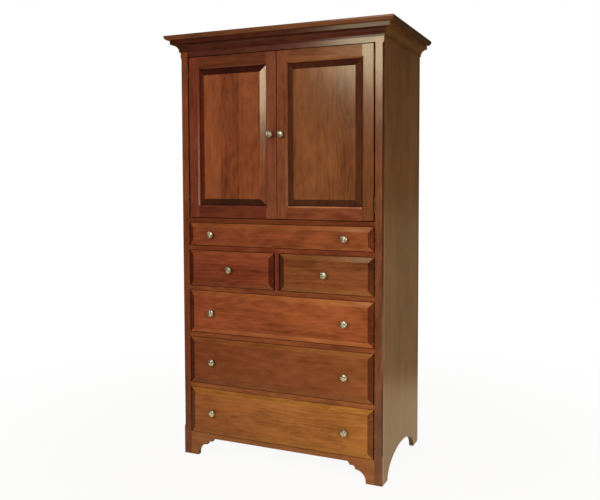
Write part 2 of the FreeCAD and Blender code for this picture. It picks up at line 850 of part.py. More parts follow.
# Drawers
def dovetail_prisms(x0, x1, bottom, top):
    """Tails that lock a drawer side into the back of the front, widening towards the front."""
    height = top - bottom
    count = max(2, round(height / tail_pitch))
    pitch = height / count
    shoulder = front_thickness
    end = shoulder - tail_length
    flare = tail_length * math.tan(tail_slope)
    tails = []
    for i in range(count):
        middle = bottom + (i + 0.5) * pitch
        near = pitch * tail_share / 2
        far = near + flare
        corners = [
            (shoulder, middle - near), (end, middle - far), (end, middle + far), (shoulder, middle + near),
        ]
        tails.append(prism(outline_edges(corners), "x", x0, x1))
    return tails


def add_drawer(name, opening, knob_places):
    x0, x1, z0, z1 = opening
    outline = inset(opening, front_side_gap, front_end_gap)
    front = raised_board(outline, -front_proud, 0, front_thickness, front_bevel, front_step)
    left, right = outline[0], outline[1]
    side_bottom = z0 + seat_clearance
    side_top = z1 - drawer_top_room
    floor_bottom = side_bottom + bottom_rise
    floor_top = floor_bottom + bottom_thickness
    inside_left = left + drawer_side
    inside_right = right - drawer_side
    back_end = drawer_depth - drawer_back_inset
    back_start = back_end - drawer_side
    floor = block(
        inside_left - bottom_groove, inside_right + bottom_groove,
        front_thickness, back_end, floor_bottom, floor_top,
    )
    front_tongue = block(
        inside_left, inside_right, front_thickness - bottom_groove, front_thickness, floor_bottom, floor_top
    )
    groove = block(
        inside_left - bottom_groove, inside_right + bottom_groove,
        front_thickness, drawer_depth, floor_bottom, floor_top,
    )
    back = block(
        inside_left - bottom_groove, inside_right + bottom_groove,
        back_start, back_end, floor_top, side_top,
    )
    box = []
    for s0, s1 in ((left, inside_left), (inside_right, right)):
        tails = dovetail_prisms(s0, s1, side_bottom, side_top)
        side = block(s0, s1, front_thickness, drawer_depth, side_bottom, side_top)
        side = side.cut([groove, back]).multiFuse(tails).removeSplitter()
        box.append(side)
        front = front.cut(tails)
    front = front.cut(front_tongue)
    knobs = []
    for (x, z), turn in zip(knob_places, knob_turns[name]):
        front = front.cut(knob_hole(x, z, -front_proud, front_thickness))
        knobs.extend(knob_with_screw(x, z, turn, -front_proud, front_thickness))
    nodes[name + "_front"] = front
    nodes[name + "_box"] = Part.makeCompound(box + [back, floor.fuse(front_tongue).removeSplitter()])
    nodes[name + "_knobs"] = Part.makeCompound(knobs)


def add_drawers():
    full_width = {
        "shallow_drawer": "shallow",
        "upper_deep_drawer": "upper",
        "middle_deep_drawer": "middle",
        "lower_deep_drawer": "lower",
    }
    for name, opening in full_width.items():
        z0, z1 = opening_bottoms[opening], opening_tops[opening]
        middle = (z0 + z1) / 2
        places = [(-full_knob_offset, middle), (full_knob_offset, middle)]
        add_drawer(name, (-opening_half, opening_half, z0, z1), places)
    z0, z1 = opening_bottoms["half"], opening_tops["half"]
    half = muntin_width / 2
    knob_x = (half + opening_half) / 2
    middle = (z0 + z1) / 2
    add_drawer("left_half_drawer", (-opening_half, -half, z0, z1), [(-knob_x, middle)])
    add_drawer("right_half_drawer", (half, opening_half, z0, z1), [(knob_x, middle)])


def save_nodes():
    os.makedirs("parts", exist_ok=True)
    for name, shape in nodes.items():
        placed = shape.copy()
        placed.translate(vec(0, -middle_of_depth, 0))
        for solid in placed.Solids:
            if not solid.isValid() or solid.Volume <= 0:
                raise RuntimeError("bad solid in " + name)
        placed.exportStep("parts/" + name + ".step")
    print(len(nodes), "nodes,", sum(len(s.Solids) for s in nodes.values()), "solids, height", overall_height)


add_frame_rails()
add_apron()
add_muntin()
add_web_frames()
add_stiles()
add_sides()
add_boards()
add_back()
add_crown()
add_cap()
add_frame_hinges()
add_back_screws()
add_catches()
add_doors()
add_drawers()
save_nodes()
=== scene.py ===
import json
import math

import bmesh
import bpy
from mathutils import Matrix, Vector


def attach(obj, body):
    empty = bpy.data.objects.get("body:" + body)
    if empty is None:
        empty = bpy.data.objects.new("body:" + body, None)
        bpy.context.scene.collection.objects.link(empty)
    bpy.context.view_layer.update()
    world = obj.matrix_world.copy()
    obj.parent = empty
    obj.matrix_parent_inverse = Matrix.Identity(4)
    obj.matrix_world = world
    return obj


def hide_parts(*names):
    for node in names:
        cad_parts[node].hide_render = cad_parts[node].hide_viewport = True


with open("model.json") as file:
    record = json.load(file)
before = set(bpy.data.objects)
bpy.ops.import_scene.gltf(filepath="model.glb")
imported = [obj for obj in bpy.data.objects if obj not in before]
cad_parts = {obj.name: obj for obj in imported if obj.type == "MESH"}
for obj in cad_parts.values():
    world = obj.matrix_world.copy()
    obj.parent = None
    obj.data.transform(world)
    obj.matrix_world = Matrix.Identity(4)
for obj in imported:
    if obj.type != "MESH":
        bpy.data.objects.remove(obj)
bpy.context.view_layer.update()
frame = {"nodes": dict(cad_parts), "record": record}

MM = 0.001
BODY_OF = {node: body for body, nodes in frame["record"]["behaviour"]["bodies"].items() for node in nodes}

# Sockets of a Mix node that mixes colours
FIRST = 6
SECOND = 7
MIXED = 2


def ink(code, factors=(1.0, 1.0, 1.0)):
    """A colour written as sRGB hex, as linear RGBA, made darker or lighter by channel factors."""
    channels = [int(code[i:i + 2], 16) / 255 for i in (1, 3, 5)]
    linear = [c / 12.92 if c <= 0.04045 else ((c + 0.055) / 1.055) ** 2.4 for c in channels]
    return tuple(min(1.0, c * f) for c, f in zip(linear, factors)) + (1.0,)


def add(tree, kind, feeds=None, **settings):
    """Adds a node with its settings; feeds are sockets to link from or plain values."""
    made = tree.nodes.new(kind)
    for key, value in settings.items():
        setattr(made, key, value)
    for socket, feed in (feeds or {}).items():
        if isinstance(feed, bpy.types.Node):
            feed = feed.outputs[0]
        if isinstance(feed, bpy.types.NodeSocket):
            tree.links.new(feed, made.inputs[socket])
        else:
            made.inputs[socket].default_value = feed
    return made


def new_material(name):
    """A node material with nothing in it yet, and its tree."""
    material = bpy.data.materials.new(name)
    material.use_nodes = True
    material.node_tree.nodes.clear()
    return material, material.node_tree


def per_metre(*sizes):
    """The scale of a pattern whose features have these sizes in mm."""
    return tuple(1 / (size * MM) for size in sizes)


# For each grain: the turn that lays it along the mapped X axis, its direction, and the mapped face axes
GRAIN = {
    "x": ((0.0, 0.0, 0.0), (1.0, 0.0, 0.0), {"y": "Y", "z": "Z"}),
    "y": ((0.0, 0.0, math.radians(-90)), (0.0, 1.0, 0.0), {"x": "Y", "z": "Z"}),
    "z": ((0.0, math.radians(90), 0.0), (0.0, 0.0, 1.0), {"y": "Y", "x": "Z"}),
}

# Length along and width across the grain, in mm, and detail of each pattern in the wood.
# Fibre and fleck are finer in real cherry, and are drawn this coarse so that they show.
WOOD_FIELDS = {
    "wander": (420.0, 95.0, 2.0),
    "streak": (300.0, 14.0, 3.0),
    "fibre": (60.0, 3.0, 2.0),
    "fleck": (20.0, 3.2, 1.0),
    "cloud": (240.0, 120.0, 3.0),
    "mottle": (70.0, 26.0, 2.0),
}

# Each wood: distance between rings, how strongly each pattern and the choice of board move the tone, the
# share of the tone on cut ends, which drink more stain, the painted shade (on drawer fronts painted light)
# that a shaped edge takes by the way it leans, how much of it the edges at the low and high side take, the
# darkest and lightest share of the tone, and the lacquer.
# Cherry is the stained outside, and maple the inside.
CHERRY = {
    "ring_mm": 11.0, "ring": 0.06, "streak": 0.40, "fibre": 0.32, "cloud": 0.70, "mottle": 0.55,
    "board": 0.28, "fleck": 0.30, "end": (0.40, 0.32, 0.36), "shoulder": (0.0, 0.0),
    "painted_lean_shade": (0.50, 0.30, 0.30), "dark": (0.48, 0.40, 0.38), "light": (1.45, 1.55, 1.55),
    "rough": (0.40, 0.52), "coat": 0.45, "coat_rough": 0.20,
}
# Raised panels: painted shade on their side bevels (on the left door's panel mostly the left one), and on
# their top and bottom bevels, which are cut ends, a darker stain deepened by painted shade
PANEL = {**CHERRY, "end": (0.16, 0.09, 0.13), "shoulder": (0.9, 0.9), "coat": 1.0}
SIDE = {**CHERRY, "streak": 0.25, "mottle": 0.30, "coat": 1.0, "coat_rough": 0.34}
LEFT_PANEL = {**PANEL, "shoulder": (0.9, 0.1), "painted_lean_shade": (0.38, 0.16, 0.17)}
RIGHT_PANEL = {**PANEL, "end": (0.30, 0.20, 0.24), "painted_lean_shade": (0.42, 0.34, 0.36)}
# Painted shade on the right stile's chamfer that faces outwards
RIGHT_STILE = {**CHERRY, "shoulder": (0.0, 0.95), "painted_lean_shade": (0.34, 0.26, 0.26), "coat": 1.0}
# Painted highlight on the upward chamfer of the right door's bottom rail
PAINTED_HIGHLIGHT_RAIL = {**CHERRY, "shoulder": (0.0, 0.9), "painted_lean_shade": (2.6, 3.4, 3.6)}
GLOSSY = {**CHERRY, "coat": 1.0}
DULL = {**CHERRY, "coat": 0.2}
# Drawer fronts: painted light on the top bevels and less on the bottom bevels, and painted light drifting
# across each front
DRAWER = {
    **CHERRY, "shoulder": (0.3, 0.8), "painted_lean_shade": (1.15, 1.35, 1.10), "coat": 0.30,
    "painted_light_drift": ((0.94, 0.87, 0.95), (1.06, 1.15, 1.05)),
}
MAPLE = {
    "ring_mm": 14.0, "ring": 0.08, "streak": 0.5, "fibre": 0.3, "cloud": 0.4, "mottle": 0.2,
    "board": 0.3, "fleck": 0.15, "end": (0.75, 0.68, 0.60), "shoulder": (0.0, 0.0),
    "painted_lean_shade": (0.80, 0.75, 0.70), "dark": (0.72, 0.64, 0.55), "light": (1.15, 1.18, 1.22),
    "rough": (0.42, 0.55), "coat": 0.15, "coat_rough": 0.30,
}

# The patterns of each board start somewhere else
SEED_START = 0.5
SEED_STEP = 3.17
BOARD_JUMP = 23.0
# How far the line of the pith sways beside a board and lies behind it
PITH_SWAY = 40 * MM
PITH_DEPTH = 110 * MM
# Where the dark, the plain and the light tone lie on the scale that the patterns add up to
TONE_DARK = 0.08
TONE_PLAIN = 0.5
TONE_LIGHT = 0.92
# Fleck noise from which a pore begins and at which it is full, and the share of the tone inside it
PORE_BEGINS = 0.60
PORE_FULL = 0.74
PORE_TONE = (0.30, 0.22, 0.20)
# The painted light across a front runs from this far left of the middle to as far right
PAINTED_DRIFT_REACH = 0.45
# How far a face leans when cut-end stain and edge painted shade begin, when full, and when square to the
# board
LEAN_BEGINS = 0.10
LEAN_FULL = 0.26
LEAN_SQUARE = 0.90
LEAN_NO_LIMIT = 2.0
# Cloud noise over which the lacquer goes from glossier to duller
SATIN_BEGINS = 0.3
SATIN_FULL = 0.7
LACQUER_IOR = 1.5
# How far pores sink below the fibre, and how strongly both show through the lacquer
PORE_SINK = -0.8
GRAIN_BUMP = 0.12
GRAIN_RELIEF = 0.4 * MM


def figured_wood(name, kind, grain, across, tone, board_mm, seed):
    """Planed boards with growth rings, streaks, pores and clouds, under a satin lacquer.
    Cut ends drink more stain, so faces that turn to the ends of the grain come out darker. Shaped edges that
    lean aside take painted shade, on drawer fronts painted light, and drawer fronts also take a painted light
    that grows from left to right."""
    material, tree = new_material(name)
    turn, along, face_axes = GRAIN[grain]
    side_axis = face_axes[across]
    depth_axis = "Z" if side_axis == "Y" else "Y"
    wide = board_mm * MM
    coords = add(tree, "ShaderNodeTexCoord")
    turned = add(tree, "ShaderNodeMapping", {"Vector": coords.outputs["Object"], "Rotation": turn})
    axes = add(tree, "ShaderNodeSeparateXYZ", {0: turned})
    count = add(tree, "ShaderNodeMath", {0: axes.outputs[side_axis], 1: wide}, operation="DIVIDE")
    board = add(tree, "ShaderNodeMath", {0: count}, operation="FLOOR")
    number = add(tree, "ShaderNodeMath", {0: board, 1: seed * SEED_STEP + SEED_START}, operation="ADD")
    chance = add(tree, "ShaderNodeTexWhiteNoise", {"W": number}, noise_dimensions="1D")
    jump = add(
        tree, "ShaderNodeVectorMath", {0: chance.outputs["Color"], "Scale": BOARD_JUMP}, operation="SCALE"
    )
    fields = {}
    for field, (length, width, detail) in WOOD_FIELDS.items():
        stretch = per_metre(length, width, width)
        place = add(tree, "ShaderNodeVectorMath", {0: turned, 1: stretch, 2: jump}, operation="MULTIPLY_ADD")
        noise = add(tree, "ShaderNodeTexNoise", {"Vector": place, "Scale": 1.0, "Detail": detail})
        fields[field] = noise.outputs[0]
    # Rings about a pith line that lies behind the board and wanders along it
    part_way = add(tree, "ShaderNodeMath", {0: count, 1: board}, operation="SUBTRACT")
    off = add(tree, "ShaderNodeMath", {0: part_way, 1: wide, 2: -0.5 * wide}, operation="MULTIPLY_ADD")
    pith_side = add(
        tree, "ShaderNodeMath", {0: fields["wander"], 1: PITH_SWAY, 2: off}, operation="MULTIPLY_ADD"
    )
    pith_deep = add(
        tree, "ShaderNodeMath", {0: fields["wander"], 1: PITH_DEPTH, 2: axes.outputs[depth_axis]},
        operation="MULTIPLY_ADD",
    )
    across_rings = add(tree, "ShaderNodeCombineXYZ", {"X": pith_side, "Y": pith_deep})
    radius = add(tree, "ShaderNodeVectorMath", {0: across_rings}, operation="LENGTH")
    phase = add(
        tree, "ShaderNodeMath", {0: radius.outputs["Value"], 1: 2 * math.pi / (kind["ring_mm"] * MM)},
        operation="MULTIPLY",
    )
    ring = add(tree, "ShaderNodeMath", {0: phase}, operation="SINE")
    value = add(tree, "ShaderNodeMath", {0: ring, 1: kind["ring"], 2: TONE_PLAIN}, operation="MULTIPLY_ADD")
    patterns = {field: fields[field] for field in ("streak", "fibre", "cloud", "mottle")}
    patterns["board"] = chance.outputs["Value"]
    for pattern, source in patterns.items():
        centred = add(tree, "ShaderNodeMath", {0: source, 1: 0.5}, operation="SUBTRACT")
        value = add(
            tree, "ShaderNodeMath", {0: centred, 1: kind[pattern], 2: value}, operation="MULTIPLY_ADD"
        )
    ramp = add(tree, "ShaderNodeValToRGB", {0: value})
    stops = ramp.color_ramp.elements
    stops[0].position = TONE_DARK
    stops[0].color = ink(tone, kind["dark"])
    stops[1].position = TONE_LIGHT
    stops[1].color = ink(tone, kind["light"])
    stops.new(TONE_PLAIN).color = ink(tone)
    pores = add(
        tree, "ShaderNodeMapRange",
        {"Value": fields["fleck"], "From Min": PORE_BEGINS, "From Max": PORE_FULL, "To Max": kind["fleck"]},
    )
    colour = add(
        tree, "ShaderNodeMix", {"Factor": pores, FIRST: ramp, SECOND: ink(tone, PORE_TONE)}, data_type="RGBA"
    )
    # Painted light across a wide front: darker and redder at the left, lighter and more golden at the right
    if "painted_light_drift" in kind:
        places = add(tree, "ShaderNodeSeparateXYZ", {0: coords.outputs["Object"]})
        spread = add(
            tree, "ShaderNodeMapRange",
            {"Value": places.outputs["X"], "From Min": -PAINTED_DRIFT_REACH, "From Max": PAINTED_DRIFT_REACH},
        )
        shaded_left, lit_right = ((*shade, 1.0) for shade in kind["painted_light_drift"])
        painted_light_drift = add(tree, "ShaderNodeMix", {"Factor": spread, FIRST: shaded_left, SECOND: lit_right}, data_type="RGBA")
        colour = add(
            tree, "ShaderNodeMix",
            {"Factor": 1.0, FIRST: colour.outputs[MIXED], SECOND: painted_light_drift.outputs[MIXED]},
            data_type="RGBA", blend_type="MULTIPLY",
        )
    # A shaped edge takes painted shade, on drawer fronts painted light, by the way it leans, short of square
    # to the board, and a cut end takes a darker stain with no limit
    side = Vector([1.0 if axis == across else 0.0 for axis in "xyz"])
    end = Vector(along)
    low_side, high_side = kind["shoulder"]
    leans = (
        (-side, low_side, kind["painted_lean_shade"], LEAN_SQUARE), (side, high_side, kind["painted_lean_shade"], LEAN_SQUARE),
        (end, 1.0, kind["end"], LEAN_NO_LIMIT), (-end, 1.0, kind["end"], LEAN_NO_LIMIT),
    )
    for line, most, shade, limit in leans:
        lean = add(
            tree, "ShaderNodeVectorMath", {0: coords.outputs["Normal"], 1: line}, operation="DOT_PRODUCT"
        )
        stain_and_painted_share = add(
            tree, "ShaderNodeMapRange",
            {
                "Value": lean.outputs["Value"], "From Min": LEAN_BEGINS, "From Max": LEAN_FULL,
                "To Max": most,
            },
        )
        within = add(tree, "ShaderNodeMath", {0: lean.outputs["Value"], 1: limit}, operation="LESS_THAN")
        share = add(tree, "ShaderNodeMath", {0: stain_and_painted_share, 1: within}, operation="MULTIPLY")
        colour = add(
            tree, "ShaderNodeMix",
            {"Factor": share, FIRST: colour.outputs[MIXED], SECOND: (*shade, 1.0)},
            data_type="RGBA", blend_type="MULTIPLY",
        )
    glossier, duller = kind["rough"]
    satin = add(
        tree, "ShaderNodeMapRange",
        {
            "Value": fields["cloud"], "From Min": SATIN_BEGINS, "From Max": SATIN_FULL,
            "To Min": glossier, "To Max": duller,
        },
    )
    relief = add(
        tree, "ShaderNodeMath", {0: pores, 1: PORE_SINK, 2: fields["fibre"]}, operation="MULTIPLY_ADD"
    )
    bump = add(
        tree, "ShaderNodeBump", {"Strength": GRAIN_BUMP, "Distance": GRAIN_RELIEF, "Height": relief}
    )
    shader = add(
        tree, "ShaderNodeBsdfPrincipled",
        {
            "Base Color": colour.outputs[MIXED], "Roughness": satin, "Normal": bump,
            "Specular IOR Level": 0.0, "Coat Weight": kind["coat"],
            "Coat Roughness": kind["coat_rough"], "Coat IOR": LACQUER_IOR,
        },
    )
    add(tree, "ShaderNodeOutputMaterial", {"Surface": shader})
    return material


# Metals: how much dark patina lies on the middle of a knob's dome, how much patina and painted shade at its
# edge, and none on its rib
DOME_PATINA = 0.14
RIM_PATINA_AND_SHADE = 0.75
# Roughness of the bare rib and of the dome, and how much the scuffs add
RIB_ROUGH = 0.50
DOME_ROUGH = 0.30
SCUFF_ROUGH = 0.10
# Scuffs in mm, which lie level and are drawn this large so that they show, and their relief
SCUFF_SIZE = (10 / 3, 10 / 3, 5 / 7)
SCUFF_BUMP = 0.05
SCUFF_RELIEF = 0.1 * MM
# Rubbed patches on the steel, in mm, and how dull it is where dark and where rubbed
PATCH_MM = 6.25
STEEL_DARK_ROUGH = 0.42
STEEL_RUBBED_ROUGH = 0.26


def satin_nickel():
    """Antiqued nickel plate: a warm grey satin metal with faint scuffs, dark with patina in its creases and
    with painted shade behind the rim and towards the dome's edge, and bright on the rubbed rib, which spreads
    its highlight wider than the dome does."""
    material, tree = new_material("satin_nickel_plate")
    coords = add(tree, "ShaderNodeTexCoord")
    stretched = add(
        tree, "ShaderNodeMapping", {"Vector": coords.outputs["Object"], "Scale": per_metre(*SCUFF_SIZE)}
    )
    scuff = add(tree, "ShaderNodeTexNoise", {"Vector": stretched, "Scale": 1.0, "Detail": 3.0})
    bright = add(
        tree, "ShaderNodeMix", {"Factor": scuff, FIRST: ink("#dedcd6"), SECOND: ink("#f6f4ee")},
        data_type="RGBA",
    )
    # This attribute darkens the knob: patina in its creases, and painted shade behind the rim and towards the
    # dome's edge
    patina_and_shade = add(tree, "ShaderNodeAttribute", attribute_name="patina_and_shade")
    tint = add(
        tree, "ShaderNodeMix",
        {"Factor": patina_and_shade.outputs["Fac"], FIRST: bright.outputs[MIXED], SECOND: ink("#1d1b15")},
        data_type="RGBA",
    )
    worn = add(
        tree, "ShaderNodeMapRange",
        {
            "Value": patina_and_shade.outputs["Fac"], "From Max": DOME_PATINA,
            "To Min": RIB_ROUGH, "To Max": DOME_ROUGH,
        },
    )
    rough = add(tree, "ShaderNodeMath", {0: scuff, 1: SCUFF_ROUGH, 2: worn}, operation="MULTIPLY_ADD")
    bump = add(tree, "ShaderNodeBump", {"Strength": SCUFF_BUMP, "Distance": SCUFF_RELIEF, "Height": scuff})
    shader = add(
        tree, "ShaderNodeBsdfPrincipled",
        {"Base Color": tint.outputs[MIXED], "Metallic": 1.0, "Roughness": rough, "Normal": bump},
    )
    add(tree, "ShaderNodeOutputMaterial", {"Surface": shader})
    return material


def aged_steel():
    """Steel hinges and screws with an antique finish: dark grey-brown metal, rubbed paler in places."""
    material, tree = new_material("antique_steel")
    coords = add(tree, "ShaderNodeTexCoord")
    scale = per_metre(PATCH_MM, PATCH_MM, PATCH_MM)
    stretched = add(tree, "ShaderNodeMapping", {"Vector": coords.outputs["Object"], "Scale": scale})
    patch = add(tree, "ShaderNodeTexNoise", {"Vector": stretched, "Scale": 1.0, "Detail": 4.0})
    tint = add(
        tree, "ShaderNodeMix", {"Factor": patch, FIRST: ink("#2e2218"), SECOND: ink("#5c4a36")},
        data_type="RGBA",
    )
    rough = add(
        tree, "ShaderNodeMapRange",
        {"Value": patch, "To Min": STEEL_DARK_ROUGH, "To Max": STEEL_RUBBED_ROUGH},
    )
    shader = add(
        tree, "ShaderNodeBsdfPrincipled",
        {"Base Color": tint.outputs[MIXED], "Metallic": 1.0, "Roughness": rough},
    )
    add(tree, "ShaderNodeOutputMaterial", {"Surface": shader})
    return material


# Each piece of wood: kind, grain, axis across the face, stain tone, width of its boards in mm. The tones hold
# some painted light and shade: the lower fronts and rails are lighter, the crown front and top rail darker.
WOOD = {
    "front_stile_left": (CHERRY, "z", "x", "#693724", 200),
    "front_stile_right": (RIGHT_STILE, "z", "x", "#6c3f2d", 200),
    "top_rail": (GLOSSY, "x", "z", "#502821", 200),
    "door_rail": (CHERRY, "x", "z", "#63331f", 200),
    "drawer_rail_1": (CHERRY, "x", "z", "#713926", 200),
    "drawer_rail_2": (CHERRY, "x", "z", "#7a452d", 200),
    "drawer_rail_3": (CHERRY, "x", "z", "#744029", 200),
    "drawer_rail_4": (CHERRY, "x", "z", "#8b5233", 200),
    "apron": (CHERRY, "x", "z", "#7d4e30", 300),
    "centre_muntin": (CHERRY, "z", "x", "#652f25", 200),
    "crown_front": (CHERRY, "x", "z", "#452019", 200),
    "crown_left": (CHERRY, "y", "z", "#52281c", 200),
    "crown_right": (CHERRY, "y", "z", "#5c3a20", 200),
    "crown_cap": (CHERRY, "x", "y", "#623b2a", 130),
    "case_top": (CHERRY, "x", "y", "#72442a", 120),
    "tv_shelf": (CHERRY, "x", "y", "#72442a", 120),
    "side_panel_left": (SIDE, "z", "y", "#6d4427", 140),
    "side_panel_right": (SIDE, "z", "y", "#6d4427", 140),
    "left_door_hinge_stile": (CHERRY, "z", "x", "#733b2d", 200),
    "left_door_meeting_stile": (CHERRY, "z", "x", "#6c3d2d", 200),
    "left_door_top_rail": (CHERRY, "x", "z", "#5e3222", 200),
    "left_door_bottom_rail": (CHERRY, "x", "z", "#5c2b1f", 200),
    "left_door_panel": (LEFT_PANEL, "z", "x", "#79422b", 92),
    "right_door_hinge_stile": (GLOSSY, "z", "x", "#633922", 200),
    "right_door_meeting_stile": (CHERRY, "z", "x", "#70402d", 200),
    "right_door_top_rail": (DULL, "x", "z", "#744830", 200),
    "right_door_bottom_rail": (PAINTED_HIGHLIGHT_RAIL, "x", "z", "#76422e", 200),
    "right_door_panel": (RIGHT_PANEL, "z", "x", "#704329", 92),
    "shallow_drawer_front": (DRAWER, "x", "z", "#80452e", 300),
    "left_half_drawer_front": (DRAWER, "x", "z", "#763b2a", 300),
    "right_half_drawer_front": (DRAWER, "x", "z", "#72412a", 300),
    "upper_deep_drawer_front": (DRAWER, "x", "z", "#8f4f34", 300),
    "middle_deep_drawer_front": (DRAWER, "x", "z", "#713f28", 300),
    "lower_deep_drawer_front": (DRAWER, "x", "z", "#955e35", 300),
    "back_panel": (MAPLE, "z", "x", "#8a6040", 315),
}
DRAWERS = [
    "shallow_drawer", "left_half_drawer", "right_half_drawer",
    "upper_deep_drawer", "middle_deep_drawer", "lower_deep_drawer",
]
WEB_FRAMES = ["web_frame_%d" % i for i in range(1, 6)]
WOOD.update({name + "_box": (MAPLE, "y", "z", "#d2b184", 400) for name in DRAWERS})
WOOD.update({name: (MAPLE, "y", "x", "#c2a078", 60) for name in WEB_FRAMES})

finishes = {}
for seed, (name, (kind, grain, across, tone, board_mm)) in enumerate(WOOD.items()):
    species = "clear_maple" if kind is MAPLE else "stained_cherry"
    finishes[name] = figured_wood(species + "_" + name, kind, grain, across, tone, board_mm, seed)
nickel = satin_nickel()
steel = aged_steel()
for name, node in frame["nodes"].items():
    finish = finishes.get(name) or (nickel if "knob" in name else steel)
    for material_slot in node.material_slots:
        material_slot.material = finish


def carry(piece, node_name):
    """The piece stands for a CAD node and moves with that node's body."""
    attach(piece, BODY_OF[node_name])
    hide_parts(node_name)


def set_out(name, data):
    """A new object at the origin, in the scene."""
    made = bpy.data.objects.new(name, data)
    bpy.context.scene.collection.objects.link(made)
    return made


def plain_copy(source, name):
    """The finished shape of an object, with its modifiers worked in, as a new object at the origin."""
    bpy.context.view_layer.update()
    shape = bpy.data.meshes.new_from_object(source.evaluated_get(bpy.context.evaluated_depsgraph_get()))
    shape.name = name
    return set_out(name, shape)


# Raised fields: the shaped boards get a hand-eased arris, which catches a thin line of light
ARRIS = 1.1 * MM
ARRIS_STEPS = 3
SHARP_ENOUGH = math.radians(10)
WELD = 0.002 * MM
FLAT_ENOUGH = math.radians(0.2)


def eased_board(node_name, front_y):
    """A copy of a raised board, with its sharp outer edges before front_y rounded over."""
    source = frame["nodes"][node_name]
    work = bmesh.new()
    work.from_mesh(source.data)
    bmesh.ops.remove_doubles(work, verts=work.verts, dist=WELD)
    bmesh.ops.dissolve_limit(work, angle_limit=FLAT_ENOUGH, verts=work.verts, edges=work.edges)
    weight = work.edges.layers.float.new("bevel_weight_edge")
    for edge in work.edges:
        in_front = all(v.co.y < front_y for v in edge.verts)
        if in_front and edge.is_convex and edge.calc_face_angle(0.0) > SHARP_ENOUGH:
            edge[weight] = 1.0
    shape = bpy.data.meshes.new(node_name + "_work")
    work.to_mesh(shape)
    work.free()
    rough = set_out(node_name + "_work", shape)
    shape.materials.append(finishes[node_name])
    bevel = rough.modifiers.new("arris", "BEVEL")
    bevel.limit_method = "WEIGHT"
    bevel.width = ARRIS
    bevel.segments = ARRIS_STEPS
    piece = plain_copy(rough, node_name + "_eased")
    piece.data.polygons.foreach_set("use_smooth", [False] * len(piece.data.polygons))
    bpy.data.objects.remove(rough)
    carry(piece, node_name)


# Front of the doors' frames, and how far behind it the edges of drawer fronts and door panels are eased
FACE_Y = -0.2625
DRAWER_EASED = 0.5 * MM
PANEL_EASED = 3.5 * MM
for name in DRAWERS:
    eased_board(name + "_front", FACE_Y + DRAWER_EASED)
for name in ("left_door_panel", "right_door_panel"):
    eased_board(name, FACE_Y + PANEL_EASED)


# Knobs: turned discs with a raised rib across the domed face, each with the screw that holds it from behind
KNOB_SIZES = {
    "Rim radius": 15.5, "Out": 26.0, "Dome rise": 4.5, "Rim height": 3.0, "Rim bulge": 1.0,
    "Rib radius": 2.4, "Rib proud": 1.4, "Rib inset": 0.5, "Base radius": 8.0, "Base height": 1.5,
    "Neck radius": 5.0, "Head radius": 4.0, "Head height": 2.5, "Head face": 22.0,
}
SLANT = math.sqrt(0.5)
# Lengths worked out from those sizes, one step each
KNOB_SUMS = (
    ("edge", "SUBTRACT", "Rim radius", "Rim bulge"),
    ("rim front", "SUBTRACT", "Out", "Dome rise"),
    ("rim back", "SUBTRACT", "rim front", "Rim height"),
    ("rim sum", "ADD", "rim front", "rim back"),
    ("rim middle", "MULTIPLY", "rim sum", 0.5),
    ("flare", "SUBTRACT", "edge", "Neck radius"),
    ("neck out", "SUBTRACT", "rim back", "flare"),
    ("flare slant", "MULTIPLY", "flare", SLANT),
    ("flare r", "SUBTRACT", "edge", "flare slant"),
    ("flare y", "ADD", "neck out", "flare slant"),
    ("foot wide", "SUBTRACT", "Base radius", "Neck radius"),
    ("foot tall", "SUBTRACT", "neck out", "Base height"),
    ("foot in", "MULTIPLY", "foot wide", 1 - SLANT),
    ("foot up", "MULTIPLY", "foot tall", 1 - SLANT),
    ("foot r", "ADD", "Neck radius", "foot in"),
    ("foot y", "ADD", "Base height", "foot up"),
    ("edge squared", "MULTIPLY", "edge", "edge"),
    ("chord share", "DIVIDE", "edge squared", "Dome rise"),
    ("dome across", "ADD", "chord share", "Dome rise"),
    ("dome radius", "MULTIPLY", "dome across", 0.5),
    ("dome ratio", "DIVIDE", "edge", "dome radius"),
    ("dome angle", "ARCSINE", "dome ratio", 0.0),
    ("half angle", "MULTIPLY", "dome angle", 0.5),
    ("half sine", "SINE", "half angle", 0.0),
    ("half cosine", "COSINE", "half angle", 0.0),
    ("dome r", "MULTIPLY", "dome radius", "half sine"),
    ("dome reach", "MULTIPLY", "dome radius", "half cosine"),
    ("dome centre", "SUBTRACT", "Out", "dome radius"),
    ("dome y", "ADD", "dome centre", "dome reach"),
    ("rib lift", "SUBTRACT", "Rib proud", "Rib radius"),
    ("spine top", "ADD", "Out", "rib lift"),
    ("spine radius", "ADD", "dome radius", "rib lift"),
    ("spine x", "SUBTRACT", "edge", "Rib inset"),
    ("spine x minus", "MULTIPLY", "spine x", -1.0),
    ("spine squared", "MULTIPLY", "spine radius", "spine radius"),
    ("spine x squared", "MULTIPLY", "spine x", "spine x"),
    ("spine rest", "SUBTRACT", "spine squared", "spine x squared"),
    ("spine fall", "SQRT", "spine rest", 0.0),
    ("spine end", "ADD", "dome centre", "spine fall"),
)
# Stretches of the turned outline as (radius, distance out): straight with two points, round with three
KNOB_OUTLINE = (
    ((0.0, 0.0), ("Base radius", 0.0)),
    (("Base radius", 0.0), ("Base radius", "Base height")),
    (("Base radius", "Base height"), ("foot r", "foot y"), ("Neck radius", "neck out")),
    (("Neck radius", "neck out"), ("flare r", "flare y"), ("edge", "rim back")),
    (("edge", "rim back"), ("Rim radius", "rim middle"), ("edge", "rim front")),
    (("edge", "rim front"), ("dome r", "dome y"), (0.0, "Out")),
)
KNOB_RIB = (("spine x minus", "spine end"), (0.0, "spine top"), ("spine x", "spine end"))
